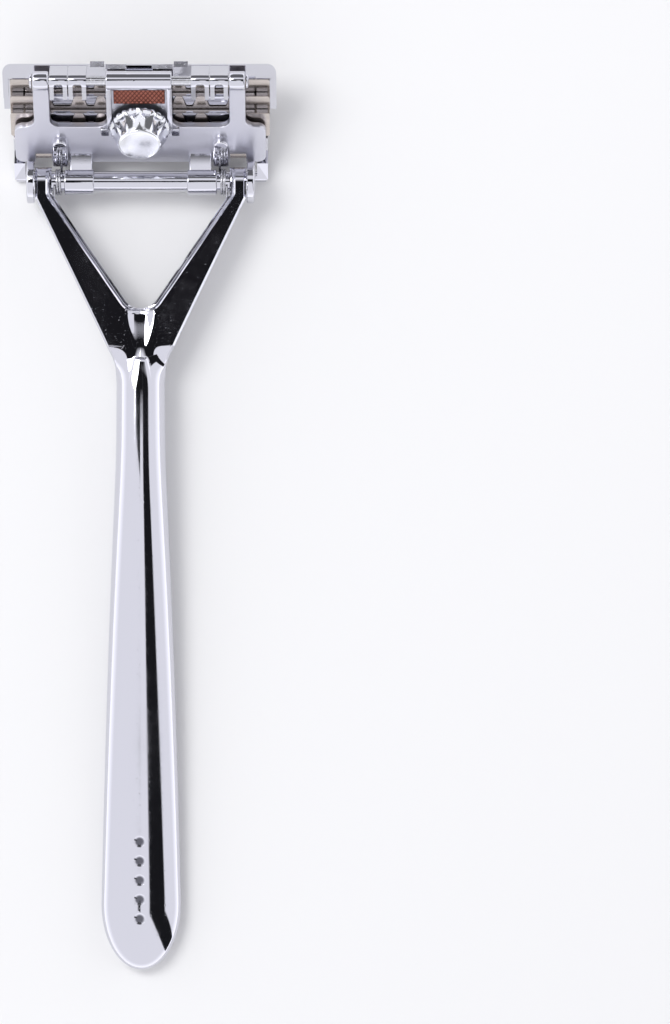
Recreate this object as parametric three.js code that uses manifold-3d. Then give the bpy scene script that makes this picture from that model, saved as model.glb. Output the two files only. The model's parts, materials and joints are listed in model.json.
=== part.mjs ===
// A pivoting three-blade metal razor, lying on its face with the clamping knob upwards.
// Millimetres. X runs along the blades, +Y from the butt to the head, +Z up from the table.
//
// The handle is drawn round the pivot axis, its shaft running away along -Y.
// The head is drawn in a frame tilted round the same axis: its y runs up the yoke plate, parallel
// to the blades, and its z runs out of the back, along the axis of the knob.

import * as THREE from 'three';
import { mergeVertices } from 'three/addons/utils/BufferGeometryUtils.js';
import Module from 'manifold-3d';

const wasm = await Module();
wasm.setup();

// ---------------------------------------------------------------- driving dimensions

const gap = 0.3; // between neighbours that touch on the real razor
const thinGap = 0.15; // between flat faces stacked in parallel
const runningFit = 0.07; // radial, between a pin and its bore
const faces = 24; // round each pin and bore

const headTilt = THREE.MathUtils.degToRad(51); // of the yoke plate, up from the table
const shavingTilt = THREE.MathUtils.degToRad(26); // between the blades and the skin

const blade = {
  length: 42.7,
  width: 11,
  thickness: 0.1,
  tabLength: 2.45, // of the narrow tab at each end
  tabWidth: 5.5,
  spineDip: 2.4,
  slotRadius: 2.6, // half of the round hole that the two halves share
  slotInset: 1.2, // from the spine to the centre of that round
  // the wavy spine: each dip runs between two places along the blade, and its sides slope
  dips: [{ from: 7.0, to: 9.2 }, { from: 10.9, to: 14.8 }],
  dipSlope: 0.8,
  count: 3,
  pitch: 3.0, // from edge to edge, along the skin
};
const firstEdge = { y: -0.08, z: -5.47 }; // of the blade nearest the guard

const guard = { radius: 0.9, ahead: 1.2, below: 4.5 };

const cap = {
  endWall: 1.1, // beyond each end of the blades
  rise: 0.9, // of its back face over the face that the last blade lies on
  backStart: 2.6, // its back face starts this far before the hinge line
  backEnd: 0.45, // and ends this far past it
  bulge: 0.27, // of its outer wall beyond that end, level with the table
  wallHigh: 0.34, // the outer wall runs between these depths, below that end
  wallLow: 6.64,
  cornerRadius: 1.5,
  cheekLength: 7.5, // of its two ends, from the hinge line towards the guard
  noseLead: 3.5, // from the last edge to the nose, along the skin
  notch: { inner: 2.1, outer: 5.5, length: 0.4, depth: 1.3 },
  stop: { outer: 8.0, length: 1.6, rise: 0.8 },
};

const plate = {
  back: -3.7,
  thickness: 1.2,
  inset: 0.65, // from each end of the blades
  bottom: 0.83,
  top: 9.42,
  corner: 1.4,
  fillet: 1.6,
};
const arm = { inner: 14.75, outer: 17.4 };
const hinge = { pastSpine: 3.69, z: -4.4, pinRadius: 0.8, knuckleRadius: 1.6, headRadius: 1.25, headLength: 0.5 };
const ear = {
  starts: [8.6, 11.7],
  width: 2.9,
  wall: 0.7,
  radius: 1.45, // round the hinge pin
  overhang: 3.6, // from the pin, down towards the plate
  tipThickness: 1.25,
  footStart: 1.4, // before the pin
  footEnd: 0.3, // past the pin
};

const housing = { halfWidth: 5.4, wall: 0.85, floor: 0.6, wallTop: -2.7 };
const panel = { halfWidth: 4.2, length: 3.2, thickness: 0.4 };

const knob = {
  baseRadius: 5.05,
  topRadius: 3.55,
  height: 4.1,
  flutes: 12,
  fluteRadius: 0.85,
  fluteDepth: 0.5,
};
const collar = { inner: 1.3, outer: 2.6, thickness: 0.8 };
const screw = { radius: 1.0, hold: 2.2, engagement: 1.2, looseFit: 0.35 };
const bracket = { halfWidth: 2.25, thickness: 1.3, foot: 1.1 }; // its foot ends before the hinge line
const magnet = { radius: 1.2, thickness: 0.7, places: [6, 14], inset: 4.1 }; // from the last blade's spine

const pivot = { radius: 1.55, barrelWall: 0.55, barrelStart: 7.7, barrelEnd: 12.6 };
const web = { start: 8.0, end: 11.7, plateReach: 3.0 }; // between each barrel and the plate
const armNotch = 2.83; // end of the notch that clears the fork's tip
const endCap = { radius: 3.5, thickness: 1.4, socket: 0.9 };
const lug = { start: 12.0, end: 14.55, bottom: 1.0, top: 7.2, clearance: 0.2 }; // under a spring's leg
const spring = {
  wire: 0.4,
  clearance: 0.25, // between the rod and the coil
  pitch: 0.5,
  turns: 2.25,
  start: 13.1,
  armLength: 4.6,
  footLength: 3.2,
};
const footSlope = THREE.MathUtils.degToRad(20);

const fork = {
  inner: 14.7,
  outer: 17.4,
  thickness: 5.0,
  innerBend: 1.9, // below the pivot axis, where the slanted edges start
  outerBend: 2.6,
  crotch: 20.9,
  crotchRadius: 3.2,
  rootHalfWidth: 4.5,
  root: 29.2,
};
const shaft = {
  length: 130.3, // from the pivot axis to the butt
  top: 29.5,
  taperTop: 45.5,
  taperEase: 0.08, // how gently the taper starts
  taperCurve: 1.8, // how evenly it goes on; smaller bulges more
  neckHalfWidth: 4.0,
  neckHalfHeight: 3.5,
  buttHalfWidth: 6.6,
  buttHalfHeight: 2.6,
  buttRound: 10.8,
  tipRound: 5,
  footCut: 0.2, // depth of the flat ground under the butt
};

// ---------------------------------------------------------------- places worked out from them

const bladeHalf = blade.length / 2;
const bladeBodyHalf = bladeHalf - blade.tabLength;
const bladeStep = { y: blade.pitch * Math.cos(shavingTilt), z: -blade.pitch * Math.sin(shavingTilt) };
const bladeEdge = (index) => ({
  y: firstEdge.y + index * bladeStep.y,
  z: firstEdge.z + index * bladeStep.z,
});
const spine = (index) => bladeEdge(index).y + blade.width;
const slotHalf = blade.thickness / 2 + thinGap; // half of the space that a blade lies in
const lastBlade = blade.count - 1;
const capFace = bladeEdge(lastBlade).z - slotHalf;
const hingeLine = spine(lastBlade) + hinge.pastSpine;
const knobLine = spine(0) - blade.slotInset; // its screw passes through the blades' round holes
const capHalf = bladeHalf + cap.endWall;
const capBack = { z: capFace + cap.rise, start: hingeLine - cap.backStart, end: hingeLine + cap.backEnd };
const capReach = capBack.end * Math.cos(headTilt) - capBack.z * Math.sin(headTilt) + cap.bulge;
const capTop = capBack.end * Math.sin(headTilt) + capBack.z * Math.cos(headTilt);
const plateHalf = bladeHalf - plate.inset;
const barrelRadius = pivot.radius + pivot.barrelWall;
const springRadius = pivot.radius + spring.clearance + spring.wire / 2;
const lugTop = -springRadius - spring.wire / 2 - lug.clearance;
const plateFront = plate.back - plate.thickness;
const endBlock = { inner: bladeBodyHalf + gap, outer: bladeHalf - 0.35 };
const pivotHeight = guard.below + guard.radius;
const bracketTop = plateFront - gap;
const bracketBottom = bracketTop - bracket.thickness;
const screwEnd = bracketTop - screw.engagement;
const knobBase = plate.back + 0.26;
const floorBack = plateFront + housing.floor;

// ---------------------------------------------------------------- solids

function solid(geometry) {
  const bare = geometry.clone();
  bare.deleteAttribute('normal');
  bare.deleteAttribute('uv');
  const merged = mergeVertices(bare, 1e-5);
  return new wasm.Manifold(new wasm.Mesh({
    numProp: 3,
    vertProperties: new Float32Array(merged.attributes.position.array),
    triVerts: new Uint32Array(merged.index.array),
  }));
}

function geometryOf(manifold) {
  const mesh = manifold.getMesh();
  const geometry = new THREE.BufferGeometry();
  geometry.setAttribute('position', new THREE.BufferAttribute(mesh.vertProperties, 3));
  geometry.setIndex(new THREE.BufferAttribute(mesh.triVerts, 1));
  geometry.computeVertexNormals();
  return geometry;
}

const join = (first, ...others) => others.reduce((sum, next) => sum.add(next), first);
const cut = (first, ...others) => others.reduce((rest, next) => rest.subtract(next), first);

const alongX = new THREE.Matrix4().makeBasis(
  new THREE.Vector3(0, 1, 0),
  new THREE.Vector3(0, 0, 1),
  new THREE.Vector3(1, 0, 0),
);

// A box between two corners.
function block(x0, x1, y0, y1, z0, z1) {
  const box = new THREE.BoxGeometry(x1 - x0, y1 - y0, z1 - z0);
  return solid(box.translate((x0 + x1) / 2, (y0 + y1) / 2, (z0 + z1) / 2));
}

// An outline in the y, z plane, drawn out from x0 to x1.
function prism(outline, x0, x1, curveSegments = 8) {
  const shape = outline instanceof THREE.Shape ? outline : new THREE.Shape(outline);
  const geometry = new THREE.ExtrudeGeometry(shape, { depth: x1 - x0, bevelEnabled: false, curveSegments });
  return solid(geometry.applyMatrix4(alongX).translate(x0, 0, 0));
}

// An outline in the x, y plane, drawn out from z0 to z1.
function sheet(outline, z0, z1, curveSegments = 6) {
  const shape = outline instanceof THREE.Shape ? outline : new THREE.Shape(outline);
  const geometry = new THREE.ExtrudeGeometry(shape, { depth: z1 - z0, bevelEnabled: false, curveSegments });
  return solid(geometry.translate(0, 0, z0));
}

// A round bar along X, round the line through y, z.
function bar(x0, x1, y, z, radius, sides = faces) {
  const geometry = new THREE.CylinderGeometry(radius, radius, x1 - x0, sides);
  return solid(geometry.rotateZ(Math.PI / 2).translate((x0 + x1) / 2, y, z));
}

// A round post along z, round the line through x, y.
function post(x, y, z0, z1, radius, sides = faces) {
  const geometry = new THREE.CylinderGeometry(radius, radius, z1 - z0, sides);
  return solid(geometry.rotateX(Math.PI / 2).translate(x, y, (z0 + z1) / 2));
}

const point = (x, y) => new THREE.Vector2(x, y);

// The right-hand half of an outline, from bottom to top, with its mirror image added.
function mirrored(half) {
  const points = half.getPoints ? half.getPoints(6) : half;
  const other = points.filter((p) => p.x > 1e-6).map((p) => point(-p.x, p.y));
  return new THREE.Shape([...points, ...other.reverse()]);
}

const mirrorX = (manifold) => {
  const geometry = geometryOf(manifold).scale(-1, 1, 1);
  const index = geometry.index.array;
  for (let i = 0; i < index.length; i += 3) {
    [index[i], index[i + 1]] = [index[i + 1], index[i]];
  }
  return solid(geometry);
};

const bothSides = (manifold) => [manifold, mirrorX(manifold)];

// A point given level with the table, from the pivot axis, in the head's tilted frame.
function level(ahead, up) {
  return point(
    ahead * Math.cos(headTilt) + up * Math.sin(headTilt),
    -ahead * Math.sin(headTilt) + up * Math.cos(headTilt),
  );
}

// A point on the plane that the three edges share, a distance past the first one.
const onSkin = (distance) => point(
  firstEdge.y + distance * Math.cos(shavingTilt),
  firstEdge.z - distance * Math.sin(shavingTilt),
);

// ---------------------------------------------------------------- handle

// The shaft is a turned bar, flattened more and more towards the butt.
function shaftSolid() {
  const taper = (along) => {
    const share = (along - shaft.taperTop) / (shaft.length - shaft.buttRound - shaft.taperTop);
    const eased = (share + Math.hypot(share, shaft.taperEase)) / 2;
    return Math.min(1, ((1 + shaft.taperCurve) * eased) / (eased + shaft.taperCurve));
  };
  const halfWidth = (along) => shaft.neckHalfWidth
    + (shaft.buttHalfWidth - shaft.neckHalfWidth) * taper(along);
  const halfHeight = (along) => shaft.neckHalfHeight
    + (shaft.buttHalfHeight - shaft.neckHalfHeight) * taper(along);
  const profile = [point(0, -shaft.length)];
  const arcSteps = 7;
  for (let i = 1; i < arcSteps; i += 1) {
    const angle = (i / arcSteps) * (Math.PI / 2);
    profile.push(point(shaft.buttHalfWidth * Math.sin(angle),
      -shaft.length + shaft.buttRound * (1 - Math.cos(angle))));
  }
  const straightSteps = 14;
  const straight = shaft.length - shaft.buttRound - shaft.top - shaft.tipRound;
  for (let i = 0; i <= straightSteps; i += 1) {
    const along = shaft.length - shaft.buttRound - (i / straightSteps) * straight;
    profile.push(point(halfWidth(along), -along));
  }
  for (let i = arcSteps - 1; i > 0; i -= 1) {
    const angle = (i / arcSteps) * (Math.PI / 2);
    profile.push(point(shaft.neckHalfWidth * Math.sin(angle),
      -shaft.top - shaft.tipRound * (1 - Math.cos(angle))));
  }
  profile.push(point(0, -shaft.top));
  const geometry = new THREE.LatheGeometry(profile, 32);
  const position = geometry.attributes.position;
  const lowest = shaft.buttHalfHeight - shaft.footCut - pivotHeight;
  for (let i = 0; i < position.count; i += 1) {
    const along = -position.getY(i);
    const flattening = halfHeight(along) / halfWidth(along);
    position.setZ(i, position.getZ(i) * flattening + lowest * taper(along));
  }
  const floorCut = block(-20, 20, -2 * shaft.length, 0, -20, -pivotHeight);
  return cut(solid(geometry), floorCut);
}

// The V of the two arms, with a round crotch and round ends on the pivot axis.
function forkSolid() {
  const tip = fork.thickness / 2;
  const crotchCentre = -fork.crotch + fork.crotchRadius;
  const bend = point(fork.inner, -fork.innerBend);
  const reach = bend.distanceTo(point(0, crotchCentre));
  const tangent = Math.atan2(bend.y - crotchCentre, bend.x) - Math.acos(fork.crotchRadius / reach);
  const half = new THREE.Path();
  half.moveTo(0, -fork.root - 6);
  half.lineTo(shaft.neckHalfWidth - 0.4, -fork.root - 6);
  half.lineTo(fork.rootHalfWidth, -fork.root);
  half.lineTo(fork.outer, -fork.outerBend);
  half.lineTo(fork.outer, tip);
  half.lineTo(fork.inner, tip);
  half.lineTo(bend.x, bend.y);
  half.absarc(0, crotchCentre, fork.crotchRadius, tangent, -Math.PI / 2, true);
  const plan = sheet(mirrored(half), -tip, tip);
  const side = new THREE.Shape();
  side.moveTo(-fork.root - 10, -tip);
  side.lineTo(0, -tip);
  side.absarc(0, 0, tip, -Math.PI / 2, Math.PI / 2, false);
  side.lineTo(-fork.root - 10, tip);
  return plan.intersect(prism(side, -fork.outer - 1, fork.outer + 1));
}

// The slanted line of a spring's fixed leg, which is sunk in the fork arm.
const footStart = point(-springRadius * Math.sin(footSlope), springRadius * Math.cos(footSlope));
const footWay = point(-Math.cos(footSlope), -Math.sin(footSlope));
const footX = spring.start + spring.pitch * spring.turns;

function footHole() {
  const radius = spring.wire / 2 + thinGap;
  const length = spring.footLength + gap;
  const geometry = new THREE.CylinderGeometry(radius, radius, length, 12);
  geometry.translate(0, length / 2, 0);
  geometry.rotateX(Math.atan2(footWay.y, footWay.x));
  return solid(geometry.translate(footX, footStart.x, footStart.y));
}

function handleCasting() {
  const bore = bar(-fork.outer - 1, fork.outer + 1, 0, 0, pivot.radius + runningFit);
  return cut(join(forkSolid(), shaftSolid()), bore, ...bothSides(footHole()));
}

function pivotRod() {
  const half = fork.outer + gap + endCap.socket - thinGap;
  return bar(-half, half, 0, 0, pivot.radius);
}

function pivotCap() {
  const inner = fork.outer + thinGap;
  const rounded = new THREE.CylinderGeometry(endCap.radius - 0.3, endCap.radius, 0.3, 32);
  rounded.rotateZ(-Math.PI / 2).translate(inner + endCap.thickness - 0.15, 0, 0);
  const disc = join(bar(inner, inner + endCap.thickness - 0.3, 0, 0, endCap.radius, 32), solid(rounded));
  const socketEnd = fork.outer + gap + endCap.socket;
  return cut(disc, bar(inner - 1, socketEnd, 0, 0, pivot.radius + runningFit));
}

// A torsion spring: a leg along the yoke plate's lug, the coil, and a leg into the fork arm.
function returnSpring() {
  const points = [];
  const startAngle = -Math.PI / 2 + headTilt; // level with the table, at the foot of the coil
  const lean = point(Math.cos(headTilt), Math.sin(headTilt));
  const coilStart = point(Math.cos(startAngle), Math.sin(startAngle)).multiplyScalar(springRadius);
  for (let i = 4; i > 0; i -= 1) {
    const along = (i / 4) * spring.armLength;
    points.push(new THREE.Vector3(spring.start, coilStart.x + lean.x * along, coilStart.y + lean.y * along));
  }
  const endAngle = Math.PI / 2 + footSlope;
  const sweep = -(2 * Math.PI * spring.turns);
  const turn = endAngle - startAngle;
  const whole = Math.round((sweep - turn) / (2 * Math.PI)) * 2 * Math.PI + turn;
  const steps = 30;
  for (let i = 0; i <= steps; i += 1) {
    const angle = startAngle + (i / steps) * whole;
    points.push(new THREE.Vector3(
      spring.start + (i / steps) * spring.pitch * spring.turns,
      springRadius * Math.cos(angle),
      springRadius * Math.sin(angle),
    ));
  }
  for (let i = 1; i <= 3; i += 1) {
    const along = (i / 3) * spring.footLength;
    points.push(new THREE.Vector3(footX, footStart.x + footWay.x * along, footStart.y + footWay.y * along));
  }
  const wire = new THREE.Shape();
  wire.absarc(0, 0, spring.wire / 2, 0, 2 * Math.PI, false);
  const path = new THREE.CatmullRomCurve3(points, false, 'centripetal');
  const geometry = new THREE.ExtrudeGeometry(wire, { steps: 56, extrudePath: path, curveSegments: 4 });
  return solid(geometry);
}

// ---------------------------------------------------------------- yoke

function yokePlate() {
  const { corner, fillet, bottom, top } = plate;
  const half = plateHalf;
  const armTop = hingeLine - 0.2;
  const outline = new THREE.Path();
  outline.moveTo(0, bottom);
  outline.lineTo(half - corner, bottom);
  outline.absarc(half - corner, bottom + corner, corner, -Math.PI / 2, 0, false);
  outline.lineTo(half, top - corner);
  outline.absarc(half - corner, top - corner, corner, 0, Math.PI / 2, false);
  outline.lineTo(arm.outer + fillet, top);
  outline.absarc(arm.outer + fillet, top + fillet, fillet, -Math.PI / 2, Math.PI, true);
  outline.lineTo(arm.outer, armTop);
  outline.lineTo(arm.inner, armTop);
  outline.absarc(arm.inner - fillet, top + fillet, fillet, 0, -Math.PI / 2, true);
  outline.lineTo(housing.halfWidth + fillet, top);
  outline.absarc(housing.halfWidth + fillet, top + fillet, fillet, -Math.PI / 2, Math.PI, true);
  outline.lineTo(housing.halfWidth, hingeLine);
  outline.lineTo(0, hingeLine);
  const flat = sheet(mirrored(outline), plateFront, plate.back);
  const channel = block(
    -housing.halfWidth + housing.wall, housing.halfWidth - housing.wall,
    knobLine, hingeLine + 1, floorBack, 0,
  );
  const walls = bothSides(block(
    housing.halfWidth - housing.wall, housing.halfWidth,
    top, hingeLine, plate.back - 0.2, housing.wallTop,
  ));
  const knuckles = [
    ...bothSides(bar(arm.inner, arm.outer, hingeLine, hinge.z, hinge.knuckleRadius)),
    bar(-housing.halfWidth, housing.halfWidth, hingeLine, hinge.z, hinge.knuckleRadius),
  ];
  const barrel = bar(pivot.barrelStart, pivot.barrelEnd, 0, 0, barrelRadius);
  const rib = prism([
    point(-barrelRadius / 2, -barrelRadius / 2), point(-barrelRadius / 4, plateFront),
    point(web.plateReach, plateFront), point(web.plateReach, plate.back),
    point(barrelRadius * 0.75, -barrelRadius / 2),
  ], web.start, web.end);
  const padShape = new THREE.Shape();
  padShape.moveTo(lug.start, lug.bottom);
  padShape.lineTo(lug.end, lug.bottom);
  padShape.lineTo(lug.end, lug.top - 1.2);
  padShape.absarc((lug.start + lug.end) / 2, lug.top - 1.2, (lug.end - lug.start) / 2, 0, Math.PI, false);
  const pad = sheet(padShape, plate.back - 0.2, lugTop);
  const body = join(
    cut(flat, channel), ...walls, ...knuckles,
    ...bothSides(barrel), ...bothSides(rib), ...bothSides(pad),
  );
  const notch = block(arm.inner, arm.outer, bottom - 1, armNotch, plateFront - 1, plate.back + 1);
  return cut(
    body,
    bar(-20, 20, 0, 0, pivot.radius + runningFit),
    bar(-20, 20, hingeLine, hinge.z, hinge.pinRadius + runningFit, 16),
    post(0, knobLine, knobBase - 0.16, 0, knob.baseRadius + gap, 32),
    post(0, knobLine, plateFront - 1, 0, screw.radius + gap),
    ...bothSides(notch),
  );
}

const hingePin = () => bar(-arm.outer, arm.outer, hingeLine, hinge.z, hinge.pinRadius, 16);

function pinHead() {
  const start = arm.outer + thinGap;
  return bar(start, start + hinge.headLength, hingeLine, hinge.z, hinge.headRadius);
}

function namePanel() {
  const top = hingeLine - hinge.knuckleRadius - thinGap;
  return block(-panel.halfWidth, panel.halfWidth, top - panel.length, top,
    floorBack + 0.1, floorBack + 0.1 + panel.thickness);
}

// ---------------------------------------------------------------- knob

function knobGrip() {
  const { baseRadius, topRadius, height } = knob;
  const top = knobBase + height;
  const profile = [
    point(0, knobBase), point(baseRadius - 0.15, knobBase), point(baseRadius, knobBase + 0.15),
    point(baseRadius, knobBase + 0.45), point(topRadius, top - 0.25), point(topRadius - 0.3, top), point(0, top),
  ];
  const cone = new THREE.LatheGeometry(profile, 48).rotateX(Math.PI / 2);
  const slope = Math.atan2(baseRadius - topRadius, height - 0.7);
  const flutes = [];
  for (let i = 0; i < knob.flutes; i += 1) {
    const flute = new THREE.CylinderGeometry(knob.fluteRadius, knob.fluteRadius, height * 2, 10);
    flute.rotateX(Math.PI / 2).rotateY(-slope);
    flute.translate((baseRadius + topRadius) / 2 + knob.fluteRadius - knob.fluteDepth, 0, knobBase + height / 2);
    flutes.push(solid(flute.rotateZ((i / knob.flutes) * 2 * Math.PI)));
  }
  const recess = post(0, 0, knobBase - 1, knobBase + collar.thickness, collar.outer + gap);
  const bore = post(0, 0, knobBase - 1, knobBase + screw.hold + gap, screw.radius + thinGap);
  return cut(solid(cone), ...flutes, recess, bore);
}

const knobScrew = () => post(0, 0, screwEnd, knobBase + screw.hold, screw.radius);

function knobCollar() {
  const bottom = plate.back + 0.13;
  return cut(
    post(0, 0, bottom, bottom + collar.thickness, collar.outer),
    post(0, 0, bottom - 1, bottom + 2, collar.inner),
  );
}

// ---------------------------------------------------------------- blade head

// The casting that holds the blades: the cap, the guard and the two stepped ends between them.
function capFrame() {
  const nose = onSkin(lastBlade * blade.pitch + cap.noseLead);
  const wallStart = capTop - cap.wallLow;
  const outerWall = [
    level(capReach - 1, wallStart - 1.7),
    level(capReach - 0.25, wallStart - 1),
    level(capReach, wallStart),
    level(capReach, capTop - cap.wallHigh),
    point(capBack.end, capBack.z),
  ];
  const beam = prism([
    nose,
    ...outerWall,
    point(capBack.start, capBack.z),
    point(spine(lastBlade) + 0.24, (capBack.z + capFace) / 2),
    point(spine(lastBlade) + 0.24, capFace),
    point(nose.x + 0.45, capFace),
  ], -capHalf, capHalf);
  const cheekStart = hingeLine - cap.cheekLength;
  const cheek = prism([
    ...outerWall, point(cheekStart, capBack.z), point(cheekStart, capFace - 2),
  ], bladeHalf + 0.25, capHalf);
  const guardLine = level(guard.ahead, -guard.below);
  const guardBar = bar(-plateHalf, plateHalf, guardLine.x, guardLine.y, guard.radius, 20);
  const end = endBlockSolid(nose, guardLine);
  const ears = ear.starts.flatMap((start) => bothSides(earSolid(start)));
  const { notch, stop } = cap;
  const stops = bothSides(block(
    housing.halfWidth + gap, stop.outer,
    capBack.end + 0.45 - stop.length, capBack.end + 0.45, capBack.z - 0.5, capBack.z + stop.rise,
  ));
  const body = join(
    beam, ...bothSides(cheek), guardBar, ...bothSides(end), ...ears, ...stops, bracketSolid(),
  );
  const relief = hinge.knuckleRadius + gap;
  const headEnd = arm.outer + thinGap + hinge.headLength + gap;
  return cut(
    body,
    ...bothSides(bar(arm.inner - thinGap, headEnd, hingeLine, hinge.z, relief)),
    bar(-housing.halfWidth - gap, housing.halfWidth + gap, hingeLine, hinge.z, relief),
    bar(-20, 20, hingeLine, hinge.z, hinge.pinRadius + runningFit, 16),
    post(0, knobLine, bracketBottom - 0.1, bracketTop + 1, screw.radius + screw.looseFit),
    ...bothSides(block(
      notch.inner, notch.outer, hingeLine - notch.length, capBack.end + 1, capBack.z - notch.depth, 0,
    )),
    ...magnet.places.flatMap((x) => bothSides(post(
      x, spine(lastBlade) - magnet.inset, capFace - magnet.thickness - gap, capFace + 0.1, magnet.radius + gap,
    ))),
    ...cornerCuts(),
  );
}

// The stepped end that carries the end tabs of the three blades.
function endBlockSolid(nose, guardLine) {
  const under = (index) => bladeEdge(index).z - slotHalf;
  const over = (index) => bladeEdge(index).z + slotHalf;
  const tabStart = (index) => spine(index) - blade.tabWidth - gap;
  const outline = [
    point(guardLine.x - 0.7, guardLine.y + 0.2),
    point(guardLine.x + 0.1, guardLine.y + guard.radius - 0.1),
    point(plate.bottom - gap, plate.back),
    point(plate.bottom - gap, over(0) + 0.1),
    point(tabStart(0), over(0) + 0.1),
    point(tabStart(0), under(0)),
  ];
  for (let i = 0; i < lastBlade; i += 1) {
    outline.push(point(spine(i) - gap, under(i)), point(spine(i) - gap, under(i + 1)));
  }
  outline.push(
    point(spine(lastBlade) + 0.4, capFace),
    point(spine(lastBlade) - 1.5, capFace - 1),
    nose,
    onSkin(-1),
    point(guardLine.x, guardLine.y - 0.6),
  );
  const slots = [];
  for (let i = 1; i < blade.count; i += 1) {
    slots.push(block(endBlock.inner - 1, endBlock.outer + 1, tabStart(i), spine(i) + 0.2, under(i), over(i)));
  }
  return cut(prism(outline.reverse(), endBlock.inner, endBlock.outer), ...slots);
}

// A hollow hinge ear: it stands on the back of the cap, rounds the pin and overhangs the blades,
// and seen from behind it is an arch that opens towards the plate.
function earSolid(start) {
  const { radius, overhang, tipThickness, footStart, footEnd, wall, width } = ear;
  const top = hinge.z + radius;
  const tip = hingeLine - overhang;
  const side = new THREE.Shape();
  side.moveTo(hingeLine - footStart, capBack.z - 0.3);
  side.lineTo(hingeLine + footEnd, capBack.z - 0.3);
  side.lineTo(hingeLine + radius, hinge.z);
  side.absarc(hingeLine, hinge.z, radius, 0, Math.PI / 2, false);
  side.lineTo(tip + tipThickness / 2, top);
  side.absarc(tip + tipThickness / 2, top - tipThickness / 2, tipThickness / 2, Math.PI / 2, Math.PI * 1.5, false);
  side.lineTo(hingeLine - footStart, hinge.z - radius);
  const arch = new THREE.Shape();
  const middle = start + width / 2;
  const hollowHalf = width / 2 - wall;
  const crown = hingeLine + radius - wall - hollowHalf;
  arch.moveTo(middle - hollowHalf, tip - 1);
  arch.lineTo(middle + hollowHalf, tip - 1);
  arch.absarc(middle, crown, hollowHalf, 0, Math.PI, false);
  return cut(prism(side, start, start + width), sheet(arch, hinge.z - hinge.pinRadius - gap, 0));
}

// The tongue that the knob's screw holds, reaching over the blades from the cap.
function bracketSolid() {
  const { halfWidth, thickness } = bracket;
  const foot = hingeLine - bracket.foot;
  const shape = new THREE.Shape();
  shape.moveTo(halfWidth, foot);
  shape.lineTo(-halfWidth, foot);
  shape.lineTo(-halfWidth, knobLine);
  shape.absarc(0, knobLine, halfWidth, Math.PI, 2 * Math.PI, false);
  const upstand = block(-halfWidth, halfWidth, foot - thickness, foot, capBack.z - 0.5, bracketTop);
  return join(sheet(shape, bracketBottom, bracketTop), upstand);
}

// The round corners of the cap, seen from above.
function cornerCuts() {
  const radius = cap.cornerRadius;
  const shape = new THREE.Shape();
  shape.moveTo(capHalf - radius, capReach + 1);
  shape.lineTo(capHalf - radius, capReach);
  shape.absarc(capHalf - radius, capReach - radius, radius, Math.PI / 2, 0, true);
  shape.lineTo(capHalf + 1, capReach - radius);
  shape.lineTo(capHalf + 1, capReach + 1);
  const geometry = new THREE.ExtrudeGeometry(shape, { depth: 40, bevelEnabled: false, curveSegments: 6 });
  geometry.translate(0, 0, -20).rotateX(-headTilt);
  return bothSides(solid(geometry));
}

// Half of a double-edge blade, its cutting edge at y = 0 and its wavy spine at y = width.
function halfBlade() {
  const { width, spineDip, dips, dipSlope, tabWidth, slotRadius, slotInset } = blade;
  const body = bladeBodyHalf;
  const half = new THREE.Path();
  half.moveTo(0, 0);
  half.lineTo(body, 0);
  half.lineTo(body, width - tabWidth);
  half.lineTo(bladeHalf, width - tabWidth);
  half.lineTo(bladeHalf, width);
  for (const dip of [...dips].reverse()) {
    half.lineTo(dip.to, width);
    half.lineTo(dip.to - dipSlope, width - spineDip);
    half.lineTo(dip.from + dipSlope, width - spineDip);
    half.lineTo(dip.from, width);
  }
  half.lineTo(slotRadius, width);
  half.lineTo(slotRadius, width - slotInset);
  half.absarc(0, width - slotInset, slotRadius, 0, -Math.PI / 2, true);
  return sheet(mirrored(half), -blade.thickness / 2, blade.thickness / 2);
}

// The shelf between two blades.
function bladeShelf(index) {
  const top = bladeEdge(index).z - slotHalf;
  const bottom = bladeEdge(index + 1).z + slotHalf;
  const half = bladeBodyHalf;
  const shelf = block(-half, half, bladeEdge(index + 1).y + 1.6, spine(index) - gap, bottom, top);
  const clear = bracket.halfWidth + gap;
  const notch = join(
    post(0, knobLine, bracketBottom - gap, bracketTop + 1, clear),
    block(-clear, clear, knobLine, knobLine + 20, bracketBottom - gap, bracketTop + 1),
  );
  return cut(shelf, notch);
}

const bladeMagnet = (x) => post(x, spine(lastBlade) - magnet.inset, capFace - magnet.thickness - 0.1, capFace - 0.1, magnet.radius);

// ---------------------------------------------------------------- materials

const chrome = (color = 0xcbcbd7) => new THREE.MeshStandardMaterial({ color, roughness: 0.12, metalness: 1 });
const steel = (color = 0xaa9b91) => new THREE.MeshStandardMaterial({ color, roughness: 0.3, metalness: 1 });
const copper = () => new THREE.MeshStandardMaterial({ color: 0x964b3c, roughness: 0.4, metalness: 0.9 });
const wireSteel = () => new THREE.MeshStandardMaterial({ color: 0x8d8f94, roughness: 0.35, metalness: 1 });
const magnetSteel = () => new THREE.MeshStandardMaterial({ color: 0x6f7177, roughness: 0.45, metalness: 0.9 });

// ---------------------------------------------------------------- assembly

const razor = new THREE.Group();
const head = new THREE.Group();
head.rotation.x = headTilt;
const stand = new THREE.Group();
stand.add(head);
razor.add(stand);

function place(parent, name, manifold, material, position = [0, 0, 0]) {
  const mesh = new THREE.Mesh(geometryOf(manifold), material);
  mesh.name = name;
  mesh.position.set(...position);
  parent.add(mesh);
  return mesh;
}

function placePair(parent, name, manifold, material) {
  place(parent, `${name}_right`, manifold, material());
  place(parent, `${name}_left`, mirrorX(manifold), material());
}

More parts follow.
